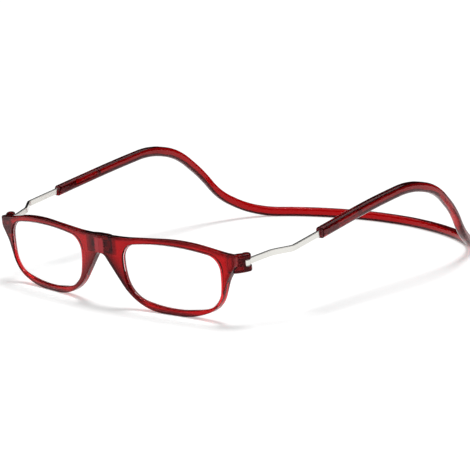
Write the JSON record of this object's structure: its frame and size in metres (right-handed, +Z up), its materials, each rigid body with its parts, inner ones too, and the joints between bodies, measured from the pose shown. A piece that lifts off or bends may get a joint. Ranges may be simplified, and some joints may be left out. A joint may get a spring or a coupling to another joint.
{
  "type": "magnetic bridge reading glasses",
  "caption": "Reading glasses that part at a magnetic bridge, with hinged halves on rods that slide in a one-piece band behind the neck.",
  "frame": {"origin": "under the middle of the overall length, on the plane of symmetry, on the surface that the glasses stand on", "axes": "+X to the wearer's left, +Y back towards the nape, +Z up"},
  "size_m": [0.1542, 0.225, 0.0444],
  "materials": {
    "red_band": "clear tinted, polished",
    "red_frame": "clear tinted, polished",
    "clear_lens": "clear, coated",
    "magnet_metal": "nickel plated",
    "cup_steel": "drawn",
    "polished_steel": "polished",
    "nut_brass": "turned",
    "washer_plastic": "natural nylon",
    "shoe_plastic": "moulded",
    "collar_plastic": "moulded"
  },
  "bodies": {
    "neckband": {"neckband": "red_band", "socket_collar_left": "collar_plastic", "socket_collar_right": "collar_plastic"},
    "arm_left": {"temple_rod_left": "polished_steel", "rod_slider_left": "shoe_plastic"},
    "front_left": {"half_frame_left": "red_frame", "lens_left": "clear_lens", "magnet_left": "magnet_metal", "magnet_cup_left": "cup_steel", "hinge_screw_left": "polished_steel", "hinge_nut_left": "nut_brass", "hinge_washers_left": "washer_plastic"},
    "arm_right": {"temple_rod_right": "polished_steel", "rod_slider_right": "shoe_plastic"},
    "front_right": {"half_frame_right": "red_frame", "lens_right": "clear_lens", "magnet_right": "magnet_metal", "magnet_cup_right": "cup_steel", "hinge_screw_right": "polished_steel", "hinge_nut_right": "nut_brass", "hinge_washers_right": "washer_plastic"}
  },
  "joints": [
    {"name": "rod_slide_left", "type": "slide", "parent": "neckband", "child": "arm_left", "axis": [0, 0.9848, 0.1736], "range_m": [0, 0.016]},
    {"name": "front_hinge_left", "type": "hinge", "parent": "arm_left", "child": "front_left", "pos_m": [0.0656, -0.09698, 0.0255], "axis": [0, -0.1736, 0.9848], "range_deg": [0, 60]},
    {"name": "rod_slide_right", "type": "slide", "parent": "neckband", "child": "arm_right", "axis": [0, 0.9848, 0.1736], "range_m": [0, 0.016]},
    {"name": "front_hinge_right", "type": "hinge", "parent": "arm_right", "child": "front_right", "pos_m": [-0.0656, -0.09698, 0.0255], "axis": [0, 0.1736, -0.9848], "range_deg": [0, 60]}
  ]
}
